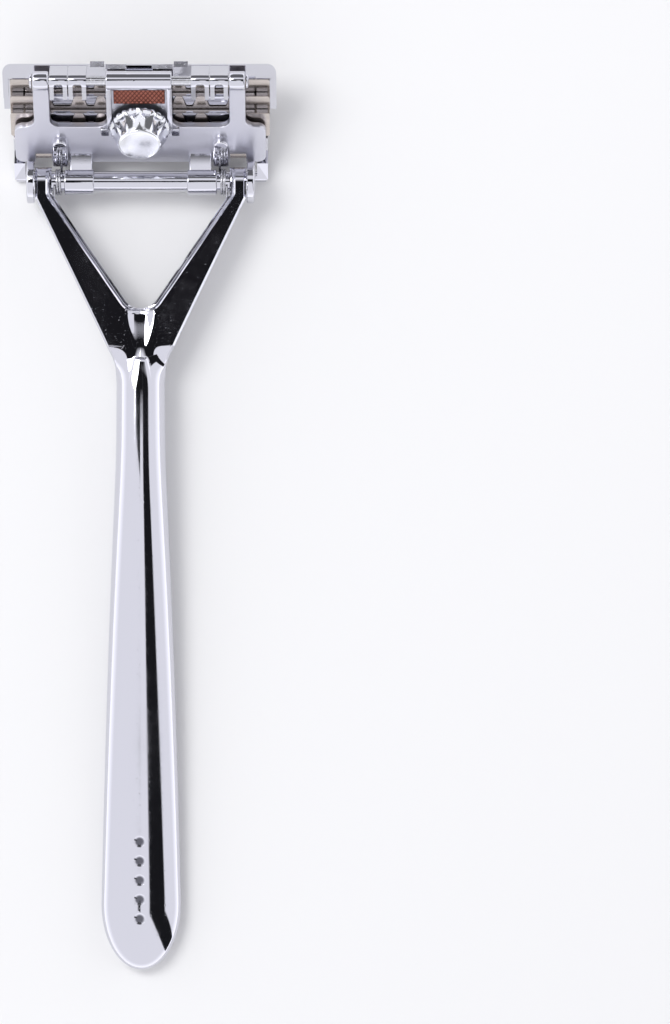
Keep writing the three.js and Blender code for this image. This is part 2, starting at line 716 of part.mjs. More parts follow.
place(stand, 'handle_casting', handleCasting(), chrome(0xd6d6e0));
place(stand, 'pivot_rod', pivotRod(), chrome());
placePair(stand, 'pivot_cap', pivotCap(), chrome);
placePair(stand, 'return_spring', returnSpring(), wireSteel);

place(head, 'yoke_plate', yokePlate(), chrome());
place(head, 'hinge_pin', hingePin(), steel(0xb9b9c0));
placePair(head, 'hinge_pin_head', pinHead(), chrome);
place(head, 'name_panel', namePanel(), copper());

place(head, 'knob_collar', knobCollar(), steel(0x9a9aa2), [0, knobLine, 0]);
place(head, 'knob', knobGrip(), chrome(0xe4e6eb), [0, knobLine, 0]);
place(head, 'knob_screw', knobScrew(), steel(0xa6a6ad), [0, knobLine, 0]);

place(head, 'cap_frame', capFrame(), chrome());
for (let i = 0; i < blade.count; i += 1) {
  const edge = bladeEdge(i);
  place(head, `blade_${i + 1}`, halfBlade(), steel(), [0, edge.y, edge.z]);
}
for (let i = 0; i < lastBlade; i += 1) {
  place(head, `blade_shelf_${i + 1}`, bladeShelf(i), chrome());
}
magnet.places.forEach((x, i) => {
  placePair(head, `blade_magnet_${i + 1}`, bladeMagnet(x), magnetSteel);
});

// The table is z = 0, and the origin lies under the middle of the razor.
stand.position.z = pivotHeight;
const box = new THREE.Box3().setFromObject(razor, true);
stand.position.y -= (box.min.y + box.max.y) / 2;

export default razor;
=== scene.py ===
"""A polished metal razor with a hinged three-blade head, lying knob upwards on a white table."""
import json
from math import acos, atan2, cos, hypot, pi, radians, sin, sqrt

import bmesh
import bpy
from mathutils import Matrix, Vector


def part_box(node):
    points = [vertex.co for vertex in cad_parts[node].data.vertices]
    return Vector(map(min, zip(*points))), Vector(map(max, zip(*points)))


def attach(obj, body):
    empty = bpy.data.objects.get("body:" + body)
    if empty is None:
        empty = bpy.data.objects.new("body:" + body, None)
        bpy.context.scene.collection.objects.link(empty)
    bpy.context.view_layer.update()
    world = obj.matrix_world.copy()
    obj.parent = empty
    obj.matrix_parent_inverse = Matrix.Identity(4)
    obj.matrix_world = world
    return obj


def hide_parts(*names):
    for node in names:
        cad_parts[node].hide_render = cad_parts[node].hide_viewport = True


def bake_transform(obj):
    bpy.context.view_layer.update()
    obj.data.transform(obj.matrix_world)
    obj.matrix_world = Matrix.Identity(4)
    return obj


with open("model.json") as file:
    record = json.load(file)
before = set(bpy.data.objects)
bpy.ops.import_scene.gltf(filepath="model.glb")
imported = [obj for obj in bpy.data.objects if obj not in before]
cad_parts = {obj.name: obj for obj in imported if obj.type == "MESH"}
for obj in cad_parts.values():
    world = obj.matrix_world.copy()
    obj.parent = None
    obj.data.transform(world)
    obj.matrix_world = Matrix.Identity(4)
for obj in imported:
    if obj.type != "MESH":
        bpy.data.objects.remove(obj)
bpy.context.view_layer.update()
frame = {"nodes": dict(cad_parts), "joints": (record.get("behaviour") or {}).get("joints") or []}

MM = 0.001


# ---------------------------------------------------------------- places, taken from the frame

joints = {joint["name"]: joint for joint in frame["joints"]}
PIVOT = Vector(joints["head_pivot"]["pos_m"])
HINGE = Vector(joints["head_opening"]["pos_m"])
KNOB_WAY = Vector(joints["knob_travel"]["axis"])
HEAD_TILT = atan2(-KNOB_WAY.y, KNOB_WAY.z)
HEAD = Matrix.Translation(PIVOT) @ Matrix.Rotation(HEAD_TILT, 4, "X") @ Matrix.Scale(MM, 4)
HANDLE = Matrix.Translation(PIVOT) @ Matrix.Scale(MM, 4)


def in_head(point):
    """A point of the frame in the head's own tilted millimetres."""
    return HEAD.inverted() @ Vector(point)


def head_box(node):
    """The lowest and highest corner of a node in the head's tilted millimetres."""
    corners = [in_head(vertex.co) for vertex in frame["nodes"][node].data.vertices]
    low = Vector(min(corner[axis] for corner in corners) for axis in range(3))
    high = Vector(max(corner[axis] for corner in corners) for axis in range(3))
    return low, high


def handle_box(node):
    """The lowest and highest corner of a node in millimetres from the pivot."""
    low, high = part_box(node)
    return (low - PIVOT) / MM, (high - PIVOT) / MM


# ---------------------------------------------------------------- mesh helpers

def finish_mesh(bm, name, place, material, body, replaces=(), sharp=30, flat=False):
    """Turns the worked mesh into an object that rides on a body of the frame, if one is named."""
    bmesh.ops.remove_doubles(bm, verts=bm.verts, dist=1e-4)
    bmesh.ops.recalc_face_normals(bm, faces=bm.faces)
    bmesh.ops.transform(bm, matrix=place, verts=bm.verts)
    mesh = bpy.data.meshes.new(name)
    bm.to_mesh(mesh)
    bm.free()
    mesh.shade_smooth()
    mesh.set_sharp_from_angle(angle=radians(sharp))
    mesh.materials.append(material)
    obj = bpy.data.objects.new(name, mesh)
    bpy.context.scene.collection.objects.link(obj)
    if flat:
        weighted = obj.modifiers.new("flat_faces", "WEIGHTED_NORMAL")
        weighted.keep_sharp = True
    if body:
        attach(obj, body)
    if replaces:
        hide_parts(*replaces)
    return obj


def loft(bm, rings, closed_ends=True):
    """Skins a row of rings that have the same number of points."""
    rows = [[bm.verts.new(co) for co in ring] for ring in rings]
    count = len(rows[0])
    for row, after in zip(rows, rows[1:]):
        for i in range(count):
            j = (i + 1) % count
            bm.faces.new((row[i], row[j], after[j], after[i]))
    if closed_ends:
        bm.faces.new(rows[0][::-1])
        bm.faces.new(rows[-1])
    return rows


def circle(radius, height, sides):
    """Points of a circle round the z axis."""
    angles = [2 * pi * i / sides for i in range(sides)]
    return [Vector((radius * cos(angle), radius * sin(angle), height)) for angle in angles]


def turned(bm, profile, axis_matrix, sides=64):
    """A turned piece: profile is a list of (radius, height) along the z axis of axis_matrix."""
    rings = []
    for radius, height in profile:
        rings.append([axis_matrix @ point for point in circle(radius, height, sides)])
    return loft(bm, rings)


def slab(bm, outline, z0, z1, matrix=Matrix.Identity(4)):
    """An outline in x, y drawn out from z0 to z1; returns its new edges."""
    start = len(bm.edges)
    low = [bm.verts.new(matrix @ Vector((x, y, z0))) for x, y in outline]
    face = bm.faces.new(low)
    grown = bmesh.ops.extrude_face_region(bm, geom=[face])
    moved = [item for item in grown["geom"] if isinstance(item, bmesh.types.BMVert)]
    shift = matrix.to_3x3() @ Vector((0, 0, z1 - z0))
    bmesh.ops.translate(bm, verts=moved, vec=shift)
    bm.edges.ensure_lookup_table()
    return list(bm.edges)[start:]


def arc(cx, cy, radius, start, end, steps):
    """Points of an arc, with its angles in degrees."""
    return [
        (cx + radius * cos(radians(start + (end - start) * i / steps)),
         cy + radius * sin(radians(start + (end - start) * i / steps)))
        for i in range(steps + 1)
    ]


def smooth_step(value, low, high):
    """Rises smoothly from 0 at low to 1 at high; low may be the larger of the two."""
    share = min(max((value - low) / (high - low), 0), 1)
    return share * share * (3 - 2 * share)


def add_part(bm, part):
    """Adds the mesh of one part to another and frees the part."""
    mesh = bpy.data.meshes.new("part")
    part.to_mesh(mesh)
    part.free()
    bm.from_mesh(mesh)
    bpy.data.meshes.remove(mesh)


def mirrored(half):
    """A right-hand half outline, from bottom to top, with its mirror image added."""
    return half + [(-x, y) for x, y in reversed(half) if x > 1e-6]


def round_edges(bm, edges, width, segments=3):
    bmesh.ops.bevel(
        bm, geom=edges, offset=width, offset_type="OFFSET", segments=segments, profile=0.5,
        affect="EDGES", clamp_overlap=True, material=-1,
    )


def crease_edges(bm, angle=35):
    """The edges where two faces meet at more than this angle."""
    return [
        edge for edge in bm.edges
        if len(edge.link_faces) == 2 and edge.calc_face_angle(0) > radians(angle)
    ]


def tube(bm, points, radius, sides=12):
    """A round wire through a row of points."""
    rings = []
    side = None
    for i, point in enumerate(points):
        before = points[max(i - 1, 0)]
        after = points[min(i + 1, len(points) - 1)]
        way = (after - before).normalized()
        if side is None:
            side = way.orthogonal().normalized()
        side = (side - way * side.dot(way)).normalized()
        other = way.cross(side)
        rings.append([
            point + radius * (cos(2 * pi * k / sides) * side + sin(2 * pi * k / sides) * other)
            for k in range(sides)
        ])
    loft(bm, rings)


# ---------------------------------------------------------------- material helpers

def new_material(name):
    material = bpy.data.materials.new(name)
    material.use_nodes = True
    tree = material.node_tree
    tree.nodes.clear()
    output = tree.nodes.new("ShaderNodeOutputMaterial")
    shader = tree.nodes.new("ShaderNodeBsdfPrincipled")
    tree.links.new(shader.outputs["BSDF"], output.inputs["Surface"])
    return material, tree, shader


def object_coordinates(tree, scale=(1, 1, 1)):
    coordinates = tree.nodes.new("ShaderNodeTexCoord")
    mapping = tree.nodes.new("ShaderNodeMapping")
    mapping.inputs["Scale"].default_value = scale
    tree.links.new(coordinates.outputs["Object"], mapping.inputs["Vector"])
    return mapping.outputs["Vector"]


def noise(tree, vector, scale, detail=3.0):
    node = tree.nodes.new("ShaderNodeTexNoise")
    node.inputs["Scale"].default_value = scale
    node.inputs["Detail"].default_value = detail
    tree.links.new(vector, node.inputs["Vector"])
    return node.outputs["Fac"]


def spread(tree, value, low, high, to_low, to_high):
    node = tree.nodes.new("ShaderNodeMapRange")
    node.inputs["From Min"].default_value = low
    node.inputs["From Max"].default_value = high
    node.inputs["To Min"].default_value = to_low
    node.inputs["To Max"].default_value = to_high
    tree.links.new(value, node.inputs["Value"])
    return node.outputs["Result"]


def calc(tree, operation, first, second=None, third=None):
    node = tree.nodes.new("ShaderNodeMath")
    node.operation = operation
    for socket, value in zip(node.inputs, (first, second, third)):
        if value is None:
            continue
        if isinstance(value, (int, float)):
            socket.default_value = value
        else:
            tree.links.new(value, socket)
    return node.outputs["Value"]


def bump(tree, height, distance, strength=1.0, normal=None):
    node = tree.nodes.new("ShaderNodeBump")
    node.inputs["Distance"].default_value = distance
    node.inputs["Strength"].default_value = strength
    tree.links.new(height, node.inputs["Height"])
    if normal is not None:
        tree.links.new(normal, node.inputs["Normal"])
    return node.outputs["Normal"]


def handling_marks():
    """Shared by all plated pieces: faint smears that dull the polish, and fine pits."""
    group = bpy.data.node_groups.new("handling_marks", "ShaderNodeTree")
    group.interface.new_socket("Roughness", in_out="OUTPUT", socket_type="NodeSocketFloat")
    group.interface.new_socket("Pits", in_out="OUTPUT", socket_type="NodeSocketFloat")
    output = group.nodes.new("NodeGroupOutput")
    vector = object_coordinates(group)
    smears = noise(group, vector, 90, 4)
    fine = noise(group, vector, 900, 2)
    mixed = calc(group, "MULTIPLY_ADD", fine, 0.25, calc(group, "MULTIPLY", smears, 0.75))
    group.links.new(spread(group, mixed, 0.42, 0.75, 0.03, 0.13), output.inputs["Roughness"])
    pits = spread(group, noise(group, vector, 2600, 1), 0.66, 0.8, 0.0, 1.0)
    group.links.new(pits, output.inputs["Pits"])
    return group


MARKS = handling_marks()


def plated(name, color, dull=0.0, sunk_with_painted_shade=None, depth=0.0):
    """Bright plating, with the shared marks in its polish, dulled or sunk in places if asked; sunk places
    are also painted dark as shade.
    """
    material, tree, shader = new_material(name)
    shader.inputs["Base Color"].default_value = (*color, 1)
    shader.inputs["Metallic"].default_value = 1.0
    marks = tree.nodes.new("ShaderNodeGroup")
    marks.node_tree = MARKS
    tree.links.new(calc(tree, "ADD", marks.outputs["Roughness"], dull), shader.inputs["Roughness"])
    normal = bump(tree, marks.outputs["Pits"], -0.000004, 0.5)
    if sunk_with_painted_shade:
        height = sunk_with_painted_shade(tree)
        normal = bump(tree, height, depth, 1.0, normal)
        # The sunk places are painted darker towards their middle, nearly black: painted shade in the
        # dimples.
        ramp = tree.nodes.new("ShaderNodeValToRGB")
        ramp.color_ramp.elements[0].color = (0.13, 0.13, 0.15, 1)
        ramp.color_ramp.elements[0].position = 0.1
        ramp.color_ramp.elements[1].color = (*color, 1)
        ramp.color_ramp.elements[1].position = 0.9
        tree.links.new(height, ramp.inputs["Fac"])
        tree.links.new(ramp.outputs["Color"], shader.inputs["Base Color"])
    tree.links.new(normal, shader.inputs["Normal"])
    return material


def brushed(name, color, roughness, grain, across=4000, along=120, depth=0.000004):
    """Satin steel with its grain along one axis."""
    material, tree, shader = new_material(name)
    shader.inputs["Metallic"].default_value = 1.0
    scale = tuple(along if axis == grain else across for axis in "xyz")
    lines = noise(tree, object_coordinates(tree, scale), 1.0, 3)
    varied = spread(tree, lines, 0.3, 0.7, roughness * 0.75, roughness * 1.25)
    tree.links.new(varied, shader.inputs["Roughness"])
    ramp = tree.nodes.new("ShaderNodeValToRGB")
    ramp.color_ramp.elements[0].position = 0.3
    ramp.color_ramp.elements[1].position = 0.7
    ramp.color_ramp.elements[0].color = (*(part * 0.82 for part in color), 1)
    ramp.color_ramp.elements[1].color = (*color, 1)
    tree.links.new(lines, ramp.inputs["Fac"])
    tree.links.new(ramp.outputs["Color"], shader.inputs["Base Color"])
    tree.links.new(bump(tree, lines, depth), shader.inputs["Normal"])
    return material


# Five plain round dimples, sunk in the upper face of the shaft near the butt; their middles are painted dark
# as shade.
DIMPLES = {
    "count": 5, "pitch": 3.2, "radius": 0.95, "floor_radius": 0.5225, "x": -0.2, "from_butt": 8.5,
    "depth": 0.3, "above": 2.2,
}


def dimple_row(tree):
    """1 on the shaft's skin and 0 in the middle of each dimple; it sinks the dimples and sets how dark their
    painted shade is.
    """
    low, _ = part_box("handle_casting")
    coordinates = tree.nodes.new("ShaderNodeTexCoord")
    split = tree.nodes.new("ShaderNodeSeparateXYZ")
    tree.links.new(coordinates.outputs["Object"], split.inputs["Vector"])
    first = low.y + DIMPLES["from_butt"] * MM
    pitch = DIMPLES["pitch"] * MM
    steps = calc(tree, "DIVIDE", calc(tree, "SUBTRACT", split.outputs["Y"], first), pitch)
    nearest = calc(tree, "MINIMUM", calc(tree, "ROUND", steps), DIMPLES["count"] - 1)
    nearest = calc(tree, "MAXIMUM", 0, nearest)
    along = calc(tree, "MULTIPLY", calc(tree, "SUBTRACT", steps, nearest), pitch)
    aside = calc(tree, "SUBTRACT", split.outputs["X"], DIMPLES["x"] * MM)
    square = calc(tree, "ADD", calc(tree, "POWER", along, 2), calc(tree, "POWER", aside, 2))
    distance = calc(tree, "SQRT", square)
    top = calc(tree, "GREATER_THAN", split.outputs["Z"], DIMPLES["above"] * MM)
    sunk = spread(tree, distance, DIMPLES["floor_radius"] * MM, DIMPLES["radius"] * MM, 1.0, 0.0)
    return calc(tree, "SUBTRACT", 1.0, calc(tree, "MULTIPLY", sunk, top))


def copper_panel_material():
    """A dull copper plate with a fine cross hatch."""
    material, tree, shader = new_material("copper_panel")
    shader.inputs["Metallic"].default_value = 0.9
    vector = object_coordinates(tree)
    hatch = None
    for tilt in (45, -45):
        mapping = tree.nodes.new("ShaderNodeMapping")
        mapping.inputs["Rotation"].default_value = (0, 0, radians(tilt))
        tree.links.new(vector, mapping.inputs["Vector"])
        wave = tree.nodes.new("ShaderNodeTexWave")
        wave.inputs["Scale"].default_value = 620
        tree.links.new(mapping.outputs["Vector"], wave.inputs["Vector"])
        lines = wave.outputs["Fac"]
        hatch = lines if hatch is None else calc(tree, "MINIMUM", hatch, lines)
    ramp = tree.nodes.new("ShaderNodeValToRGB")
    ramp.color_ramp.elements[0].color = (0.07, 0.02, 0.015, 1)
    ramp.color_ramp.elements[1].color = (0.34, 0.12, 0.085, 1)
    ramp.color_ramp.elements[1].position = 0.35
    tree.links.new(hatch, ramp.inputs["Fac"])
    tree.links.new(ramp.outputs["Color"], shader.inputs["Base Color"])
    dulled = spread(tree, noise(tree, vector, 700), 0.3, 0.7, 0.3, 0.5)
    tree.links.new(dulled, shader.inputs["Roughness"])
    tree.links.new(bump(tree, hatch, 0.00005), shader.inputs["Normal"])
    return material


chrome = plated("chrome", (0.64, 0.64, 0.69))
# The shaft's dimples are bumped in and painted dark: painted shade.
shaft_chrome_painted_dimple_shade = plated("shaft_chrome_painted_dimple_shade", (0.66, 0.66, 0.715), 0.0, dimple_row, DIMPLES["depth"] * MM)
satin_chrome = plated("satin_chrome", (0.62, 0.62, 0.68), 0.3)
# The knob's plating has a brighter base colour than the other chrome: a painted highlight that makes it look
# more brightly lit.
knob_chrome = plated("knob_chrome", (0.84, 0.85, 0.88), 0.05)
# The blades' warm brown tint is a painted reflection of a brown surrounding; their grain is the steel's own.
blade_steel = brushed("blade_steel", (0.66, 0.60, 0.56), 0.22, "x")
pin_steel = brushed("pin_steel", (0.66, 0.66, 0.69), 0.22, "x", 1500, 6000)
spring_wire = brushed("spring_wire", (0.55, 0.55, 0.58), 0.25, "x", 2500, 2500)
magnet_steel = brushed("magnet_steel", (0.42, 0.43, 0.45), 0.35, "z")
copper = copper_panel_material()


# ---------------------------------------------------------------- handle

SHAFT = {
    "neck_half_width": 4.0, "neck_half_height": 3.5, "butt_half_width": 6.6, "butt_half_height": 2.6,
    "butt_round": 10.8, "taper_top": 45.5, "taper_ease": 0.08, "taper_curve": 1.8, "foot_cut": 0.2,
    "flat_until": -27.0, "round_from": -34.5,
}
FORK = {
    "inner": 14.7, "inner_bend": -1.9, "outer_bend": -2.6, "half_thickness": 2.5, "crotch": -20.9,
    "crotch_radius": 3.2, "root_half_width": 4.5, "root": -29.2, "outer_chamfer": 0.35,
    "chamfer_slope": 0.93, "neck_ease": 0.8,
}
# The groove that runs down from the crotch, and the small nose at its lower end.
GROOVE = {
    "half_width": 1.05, "widening": 1.35, "narrow_at": -29.5, "wide_at": -22.0, "floor_share": 0.3,
    "depth": 1.3, "start": -29.4, "full": -15.5, "lip": 0.3,
}
NOSE = {"height": 0.5, "half_width": 1.0, "start": -29.0, "full": -29.5}
# The inner edge of the fork, from its rim outwards: distance from the rim and depth below the flat.
INNER_STEPS = ((0.0, 0.85), (0.2, 0.62), (0.36, 0.60), (0.46, 0.42), (0.95, 0.0))
COLUMNS = 30


class HandleShape:
    """The outline and the height of the handle's upper skin, for its right-hand half."""

    def __init__(self):
        low, high = handle_box("handle_casting")
        self.length = -low.y
        self.floor = low.z
        self.outer = high.x
        self.centre = FORK["crotch"] + FORK["crotch_radius"]
        bend = Vector((FORK["inner"], FORK["inner_bend"] - self.centre))
        swing = atan2(bend.y, bend.x) - acos(FORK["crotch_radius"] / bend.length)
        self.tangent = FORK["crotch_radius"] * Vector((cos(swing), sin(swing)))
        self.inner_way = (bend - self.tangent).normalized()

    def taper(self, along):
        straight = self.length - SHAFT["butt_round"] - SHAFT["taper_top"]
        share = (along - SHAFT["taper_top"]) / straight
        eased = (share + hypot(share, SHAFT["taper_ease"])) / 2
        return min(1, (1 + SHAFT["taper_curve"]) * eased / (eased + SHAFT["taper_curve"]))

    def inner(self, y, away=0.0):
        """Half of the gap between the two arms, or the line at a distance outside its rim."""
        local = y - self.centre
        radius = FORK["crotch_radius"] + away
        start = self.tangent * (radius / FORK["crotch_radius"])
        if local > start.y:
            slanted = start.x + (local - start.y) * self.inner_way.x / self.inner_way.y
            return min(slanted, FORK["inner"] + away)
        return sqrt(max(radius ** 2 - local ** 2, 0)) if local < 0 or radius > local else 0

    def outer_edge(self, y):
        """Half of the width over the two arms, running smoothly into the neck."""
        if y > FORK["outer_bend"]:
            return self.outer
        slope = (self.outer - FORK["root_half_width"]) / (FORK["outer_bend"] - FORK["root"])
        line = self.outer + (y - FORK["outer_bend"]) * slope
        neck = SHAFT["neck_half_width"]
        return (line + neck + hypot(line - neck, FORK["neck_ease"])) / 2

    def from_gap(self, x, y):
        """Distance from the rim of the gap between the arms."""
        point = Vector((x, y - self.centre))
        past = point - self.tangent
        if past.dot(self.inner_way) > 0:
            return max(past.x * self.inner_way.y - past.y * self.inner_way.x, x - FORK["inner"])
        return point.length - FORK["crotch_radius"]

    def slab_height(self, x, y):
        """Half of the fork's thickness, less its chamfers and the groove below its crotch."""
        away = max(self.from_gap(x, y), 0)
        drop = 0
        for (near, deep), (far, shallow) in zip(INNER_STEPS, INNER_STEPS[1:]):
            if near <= away <= far:
                drop = deep + (shallow - deep) * (away - near) / (far - near)
        edge = (self.outer_edge(y) - x) * FORK["chamfer_slope"]
        drop += max(FORK["outer_chamfer"] - edge, 0)
        widened = smooth_step(y, GROOVE["narrow_at"], GROOVE["wide_at"])
        groove_half = GROOVE["half_width"] + GROOVE["widening"] * widened
        across = smooth_step(x, groove_half, groove_half * GROOVE["floor_share"])
        deepened = smooth_step(y, GROOVE["start"], GROOVE["full"])
        drop += GROOVE["depth"] * across * deepened * (away / (away + GROOVE["lip"]))
        nose = NOSE["height"] * sqrt(max(0, 1 - (x / NOSE["half_width"]) ** 2))
        nose *= smooth_step(y, NOSE["start"], NOSE["full"])
        height = FORK["half_thickness"] - drop + nose
        if y > 0:
            height *= sqrt(max(1 - (y / FORK["half_thickness"]) ** 2, 0))
        return height

    def row(self, y):
        """The upper and the lower skin at one place along the handle, from the middle outwards."""
        along = -y
        rounding = smooth_step(y, SHAFT["flat_until"], SHAFT["round_from"])
        widening = self.taper(along)
        half_width = SHAFT["neck_half_width"] + (
            SHAFT["butt_half_width"] - SHAFT["neck_half_width"]) * widening
        half_height = SHAFT["neck_half_height"] + (
            SHAFT["butt_half_height"] - SHAFT["neck_half_height"]) * widening
        centre = (SHAFT["butt_half_height"] - SHAFT["foot_cut"] + self.floor) * widening
        straight_end = self.length - SHAFT["butt_round"]
        share = 1.0
        if along > straight_end:
            share = sqrt(max(1 - ((along - straight_end) / SHAFT["butt_round"]) ** 2, 0))
        outer = self.outer_edge(y)
        upper = []
        lower = []
        rims = [self.inner(y, away) for away, _ in INNER_STEPS]
        chamfer = outer - FORK["outer_chamfer"] / FORK["chamfer_slope"]
        flats = [rims[-1] + (chamfer - rims[-1]) * i / COLUMNS for i in range(1, COLUMNS + 1)]
        places = rims + flats + [outer]
        for i, flat_x in enumerate(places):
            part = i / (len(places) - 1)
            flat_z = self.slab_height(flat_x, y) if rounding < 1 else 0
            round_x = half_width * share * sin(part * pi / 2)
            round_z = half_height * share * cos(part * pi / 2)
            x = flat_x + (round_x - flat_x) * rounding
            z = flat_z + (round_z - flat_z) * rounding
            upper.append(Vector((x, y, centre + z)))
            lower.append(Vector((x, y, max(centre - z, self.floor))))
        return upper + lower[::-1]


def handle_rows(shape):
    """Places along the handle, closest together where its shape changes most."""
    tip = FORK["half_thickness"]
    rows = [tip * cos(radians(2 + 8 * step)) for step in range(11)]
    rows += [-0.6, -1.2, FORK["inner_bend"], FORK["outer_bend"]]
    # Each band is its start, its end and its number of steps.
    for start, end, count in (
        (-3.2, -17.0, 20), (-17.1, -20.8, 38), (-20.82, -20.88, 3),
        *[(FORK["crotch"] - near, FORK["crotch"] - far + 0.02, 4) for (near, _), (far, _) in zip(
            INNER_STEPS, INNER_STEPS[1:])],
        (FORK["crotch"] - INNER_STEPS[-1][0], -36.0, 84),
        (-36.6, SHAFT["butt_round"] - shape.length, 70),
    ):
        rows += [start + (end - start) * step / count for step in range(count + 1)]
    for step in range(1, 20):
        angle = pi / 2 * (step / 19.15)
        rows.append(SHAFT["butt_round"] * (1 - sin(angle)) - shape.length)
    return rows


def make_handle():
    """One casting: the two arms, the neck between them, and the shaft down to the butt."""
    shape = HandleShape()
    bm = bmesh.new()
    loft(bm, [shape.row(y) for y in handle_rows(shape)])
    inside = [face for face in bm.faces if all(abs(vertex.co.x) < 1e-4 for vertex in face.verts)]
    bmesh.ops.delete(bm, geom=inside, context="FACES")
    copied = bmesh.ops.duplicate(bm, geom=bm.verts[:] + bm.edges[:] + bm.faces[:])["geom"]
    other_half = [item for item in copied if isinstance(item, bmesh.types.BMVert)]
    bmesh.ops.scale(bm, vec=(-1, 1, 1), verts=other_half)
    finish_mesh(bm, "handle", HANDLE, shaft_chrome_painted_dimple_shade, "handle", ("handle_casting",), 24)


# The rod's end caps: edge rounding, and the shallow dish in each face as share of radius and depth.
CAP = {"edge": 0.12, "round": 0.42, "rise": 0.3, "dish": ((0.62, 0.04), (0.58, 0.16), (0.3, 0.12))}


def make_rod_and_caps():
    """The rod across the fork, with a slight dome on each of its round end caps."""
    low, high = handle_box("pivot_rod")
    radius = high.z
    along_x = Matrix.Rotation(pi / 2, 4, "Y")
    bm = bmesh.new()
    turned(bm, [(radius, low.x), (radius, high.x)], along_x)
    finish_mesh(bm, "pivot_rod_turned", HANDLE, chrome, "handle", ("pivot_rod",))
    for side, node in ((1, "pivot_cap_right"), (-1, "pivot_cap_left")):
        low, high = handle_box(node)
        inner, outer = (low.x, high.x) if side > 0 else (high.x, low.x)
        radius = high.z
        depth = abs(outer - inner)
        profile = [(radius - CAP["edge"], 0), (radius, CAP["edge"])]
        profile += [
            (radius - CAP["round"] * (1 - cos(angle)), depth - CAP["round"] + CAP["rise"] * sin(angle))
            for angle in (radians(step * 15) for step in range(7))
        ]
        profile += [(radius * share, depth - down) for share, down in CAP["dish"]]
        bm = bmesh.new()
        turned(bm, [(r, side * (abs(inner) + h)) for r, h in profile], along_x)
        finish_mesh(bm, node + "_turned", HANDLE, chrome, "handle", (node,))


def make_springs():
    """The return springs: a leg on the yoke's lug, the coil, and a leg sunk in the fork arm."""
    wire = 0.2
    radius = 2.0
    arm_length = 4.6
    foot_length = 3.2
    foot_slope = radians(20)
    turns = 2.25
    for side, node in ((1, "return_spring_right"), (-1, "return_spring_left")):
        low, high = handle_box(node)
        start_x = low.x + wire if side > 0 else high.x - wire
        end_x = high.x - wire if side > 0 else low.x + wire
        start = HEAD_TILT - pi / 2
        end = pi / 2 + foot_slope
        whole = round((-2 * pi * turns - (end - start)) / (2 * pi)) * 2 * pi + (end - start)
        points = []
        for i in range(8, 0, -1):
            along = arm_length * i / 8
            points.append(Vector((
                start_x, radius * cos(start) + cos(HEAD_TILT) * along,
                radius * sin(start) + sin(HEAD_TILT) * along,
            )))
        rows = 110
        for i in range(rows + 1):
            angle = start + whole * i / rows
            points.append(Vector((
                start_x + (end_x - start_x) * i / rows, radius * cos(angle), radius * sin(angle),
            )))
        for i in range(1, 7):
            along = foot_length * i / 6
            points.append(Vector((
                end_x, radius * cos(end) - cos(foot_slope) * along,
                radius * sin(end) - sin(foot_slope) * along,
            )))
        bm = bmesh.new()
        tube(bm, points, wire)
        name = node + "_wound"
        spring = finish_mesh(bm, name, HANDLE, spring_wire, None, (node,), 60)
        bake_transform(spring)


# ---------------------------------------------------------------- pieces finished from the frame

def finished_copy(node, material, body, width, segments=3, sharp=32):
    """The frame's own shape with its flat faces made whole and its edges rounded."""
    bm = bmesh.new()
    bm.from_mesh(frame["nodes"][node].data)
    bmesh.ops.transform(bm, matrix=HEAD.inverted(), verts=bm.verts)
    bmesh.ops.remove_doubles(bm, verts=bm.verts, dist=2e-3)
    bmesh.ops.dissolve_degenerate(bm, edges=bm.edges, dist=1e-3)
    bmesh.ops.dissolve_limit(
        bm, angle_limit=radians(1.0), verts=bm.verts, edges=bm.edges,
        use_dissolve_boundaries=False,
    )
    round_edges(bm, crease_edges(bm), width, segments)
    return finish_mesh(bm, node + "_finished", HEAD, material, body, (node,), sharp, flat=True)


PLATE = {
    "back": -3.7, "front": -4.9, "half_length": 20.7, "bottom": 0.83, "top": 9.42, "corner": 1.4,
    "fillet": 1.6, "arm_inner": 14.75, "arm_outer": 17.4, "notch": 2.83,
}
HOUSING = {"half_width": 5.4, "wall": 0.85, "floor": -4.3, "top": -2.7, "wall_start": 12.7}
TOOTH = {"reach": 1.1, "start": -1.6, "end": 0.1, "back": 0.55}
KNUCKLE_RADIUS = 1.6
BARREL = {"radius": 2.1, "start": 7.7, "end": 12.6, "web_end": 11.7}
LUG = {"start": 12.0, "end": 14.55, "bottom": 1.0, "top": 7.2, "back": -2.4}
# How far one part of the yoke is sunk in the next, so that they make one casting.
SUNK = 0.2
EDGE = 0.13
ALONG_X = Matrix.Rotation(pi / 2, 4, "Y")


def bevelled_slab(bm, outline, z0, z1, width=EDGE, matrix=Matrix.Identity(4)):
    """A slab with all of its sharp edges rounded."""
    part = bmesh.new()
    slab(part, outline, z0, z1, matrix)
    bmesh.ops.recalc_face_normals(part, faces=part.faces)
    round_edges(part, crease_edges(part, 50), width, 3)
    add_part(bm, part)


def bevelled_bar(bm, x0, x1, y, z, radius, width=EDGE, sides=56):
    """A round bar along X with rounded ends."""
    angles = [radians(30 * step) for step in range(4)]
    steps = [(width * (1 - cos(angle)), width * (1 - sin(angle))) for angle in angles]
    profile = [(radius - less, x0 + inset) for inset, less in steps]
    profile += [(radius - less, x1 - inset) for inset, less in reversed(steps)]
    turned(bm, profile, Matrix.Translation((0, y, z)) @ ALONG_X, sides)


def on_both_sides(build):
    """Calls build with 1 for the right-hand side and -1 for the left-hand side."""
    for side in (1, -1):
        build(side)


